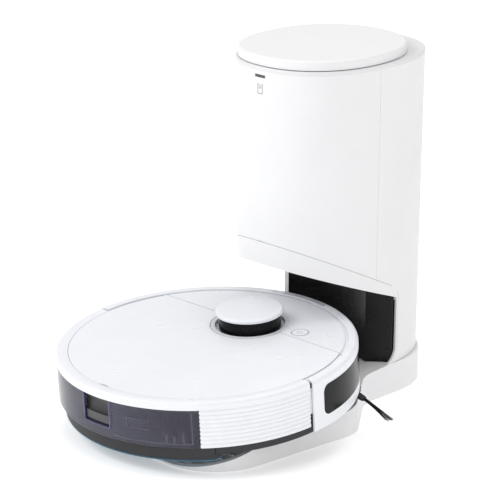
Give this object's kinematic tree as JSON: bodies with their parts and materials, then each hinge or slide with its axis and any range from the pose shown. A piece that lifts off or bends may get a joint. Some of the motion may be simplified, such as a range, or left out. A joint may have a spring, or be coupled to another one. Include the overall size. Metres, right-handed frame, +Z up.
{
  "type": "robot vacuum",
  "caption": "Round robot vacuum with sensor turret, water tank and mop, docked on the ramp of a tall oval self-emptying station.",
  "frame": {"origin": "bottom centre of the whole object's bounding box, on the floor", "axes": "+Z up, +Y from the ramp's tip to the station's back, +X to the right of someone facing the station"},
  "size_m": [0.4116, 0.4998, 0.4235],
  "materials": {
    "robot_white": "fine satin moulded ABS",
    "side_white": "matte moulded ABS with ribs",
    "station_white": "satin moulded ABS",
    "gloss_black": "high gloss, infrared-clear black",
    "smoke": "smoked clear plastic",
    "tank_parts": "dark moulded plastic",
    "latch_grey": "fine matte",
    "strip_grey": "translucent grey",
    "charcoal": "fine matte",
    "mop_blue": "microfibre pile",
    "rubber_dark": "matte rubber",
    "bristle": "nylon bristles",
    "mat_grey": "matte ribbed insert",
    "inner_grey": "plain moulded plastic",
    "bag_paper": "non-woven filter cloth",
    "card": "pressed card",
    "contact_metal": "nickel plated",
    "board_green": "solder mask"
  },
  "bodies": {
    "dock": {"base_tray": "station_white", "base_plate": "charcoal", "base_feet": "rubber_dark", "ramp_mat": "mat_grey", "port_seal": "rubber_dark", "dust_duct": "inner_grey", "bay_panel": "gloss_black", "rear_shell": "station_white", "front_cover": "station_white", "overhang_trim": "station_white", "top_frame": "station_white", "lid_pins": "contact_metal", "status_lens": "strip_grey", "bag_chamber": "inner_grey", "dust_bag": "bag_paper", "bag_collar": "card", "station_fan": "charcoal", "exhaust_grille": "inner_grey", "power_board": "board_green", "mains_inlet": "inner_grey"},
    "contact_l": {"charge_contact_l": "contact_metal"},
    "contact_r": {"charge_contact_r": "contact_metal"},
    "lid": {"station_lid": "station_white"},
    "robot": {"chassis_pan": "charcoal", "upper_deck": "robot_white", "cover_pins": "contact_metal", "side_cover_l": "side_white", "side_cover_r": "side_white", "turret_base": "robot_white", "turret_window": "gloss_black", "turret_cap": "robot_white", "dust_bin": "inner_grey", "bin_handle": "inner_grey", "suction_fan": "charcoal", "battery": "charcoal", "main_board": "board_green", "brush_cover": "charcoal", "robot_contacts": "contact_metal"},
    "cover": {"top_cover": "robot_white"},
    "bumper": {"bumper": "robot_white", "bumper_window": "gloss_black", "rim_strip": "strip_grey"},
    "lidar": {"lidar_rotor": "charcoal"},
    "button": {"start_button": "robot_white"},
    "tank": {"tank_shell": "smoke", "tank_inner": "tank_parts"},
    "latch": {"tank_latch": "latch_grey"},
    "mop": {"mop_plate": "charcoal", "mop_pad": "mop_blue"},
    "roller": {"main_brush": "rubber_dark"},
    "brush_l": {"side_brush_l": "rubber_dark", "side_bristles_l": "bristle"},
    "brush_r": {"side_brush_r": "rubber_dark", "side_bristles_r": "bristle"},
    "wheel_arm_l": {"wheel_arm_l": "charcoal"},
    "wheel_arm_r": {"wheel_arm_r": "charcoal"},
    "wheel_l": {"drive_wheel_l": "rubber_dark"},
    "wheel_r": {"drive_wheel_r": "rubber_dark"},
    "caster_swivel": {"caster_fork": "charcoal"},
    "caster_roll": {"caster_wheel": "rubber_dark"}
  },
  "joints": [
    {"name": "robot_undock", "type": "slide", "parent": "dock", "child": "robot", "axis": [0, -1, 0], "range_m": [0, 0.35]},
    {"name": "lid_hinge", "type": "hinge", "parent": "dock", "child": "lid", "pos_m": [0, 0.21971, 0.4138], "axis": [-1, 0, 0], "range_deg": [0, 85]},
    {"name": "contact_l_press", "type": "slide", "parent": "dock", "child": "contact_l", "axis": [0, 0.0642, -0.9979], "range_m": [0, 0.0015], "stiffness_N_per_m": 600, "springref_m": -0.001},
    {"name": "contact_r_press", "type": "slide", "parent": "dock", "child": "contact_r", "axis": [0, 0.0642, -0.9979], "range_m": [0, 0.0015], "stiffness_N_per_m": 600, "springref_m": -0.001},
    {"name": "cover_hinge", "type": "hinge", "parent": "robot", "child": "cover", "pos_m": [0, -0.00396, 0.10297], "axis": [-1, 0, 0], "range_deg": [0, 65]},
    {"name": "bumper_press", "type": "slide", "parent": "robot", "child": "bumper", "axis": [0, -0.9979, -0.0642], "range_m": [0, 0.002], "stiffness_N_per_m": 600, "springref_m": -0.002},
    {"name": "lidar_spin", "type": "hinge", "parent": "robot", "child": "lidar", "pos_m": [0, -0.00438, 0.10946], "axis": [0, -0.0642, 0.9979], "continuous": true},
    {"name": "button_press", "type": "slide", "parent": "robot", "child": "button", "axis": [0, 0.0642, -0.9979], "range_m": [0, 0.001], "stiffness_N_per_m": 800, "springref_m": -0.0005},
    {"name": "tank_slide", "type": "slide", "parent": "robot", "child": "tank", "axis": [0, -0.9979, -0.0642], "range_m": [0, 0.09]},
    {"name": "latch_press", "type": "slide", "parent": "tank", "child": "latch", "axis": [0, 0.9979, 0.0642], "range_m": [0, 0.0015], "stiffness_N_per_m": 800, "springref_m": -0.0005},
    {"name": "mop_slide", "type": "slide", "parent": "robot", "child": "mop", "axis": [0, -0.9979, -0.0642], "range_m": [0, 0.04]},
    {"name": "roller_spin", "type": "hinge", "parent": "robot", "child": "roller", "pos_m": [0, -0.11735, 0.04307], "axis": [1, 0, 0], "continuous": true},
    {"name": "side_brush_l_spin", "type": "hinge", "parent": "robot", "child": "brush_l", "pos_m": [-0.116, 0.04415, 0.04043], "axis": [0, -0.0642, 0.9979], "continuous": true},
    {"name": "side_brush_r_spin", "type": "hinge", "parent": "robot", "child": "brush_r", "pos_m": [0.116, 0.04415, 0.04043], "axis": [0, -0.0642, 0.9979], "continuous": true},
    {"name": "wheel_arm_l_lift", "type": "hinge", "parent": "robot", "child": "wheel_arm_l", "pos_m": [-0.118, -0.03761, 0.06523], "axis": [-1, 0, 0], "range_deg": [0, 11], "stiffness_Nm_per_rad": 1, "springref_deg": -11.46},
    {"name": "wheel_arm_r_lift", "type": "hinge", "parent": "robot", "child": "wheel_arm_r", "pos_m": [0.118, -0.03761, 0.06523], "axis": [-1, 0, 0], "range_deg": [0, 11], "stiffness_Nm_per_rad": 1, "springref_deg": -11.46},
    {"name": "wheel_l_spin", "type": "hinge", "parent": "wheel_arm_l", "child": "wheel_l", "pos_m": [-0.118, -0.07803, 0.05492], "axis": [1, 0, 0], "continuous": true},
    {"name": "wheel_r_spin", "type": "hinge", "parent": "wheel_arm_r", "child": "wheel_r", "pos_m": [0.118, -0.07803, 0.05492], "axis": [1, 0, 0], "continuous": true},
    {"name": "caster_swivel", "type": "hinge", "parent": "robot", "child": "caster_swivel", "pos_m": [0, 0.05301, 0.043], "axis": [0, -0.0642, 0.9979], "continuous": true},
    {"name": "caster_roll", "type": "hinge", "parent": "caster_swivel", "child": "caster_roll", "pos_m": [0, 0.04707, 0.04192], "axis": [1, 0, 0], "continuous": true}
  ]
}
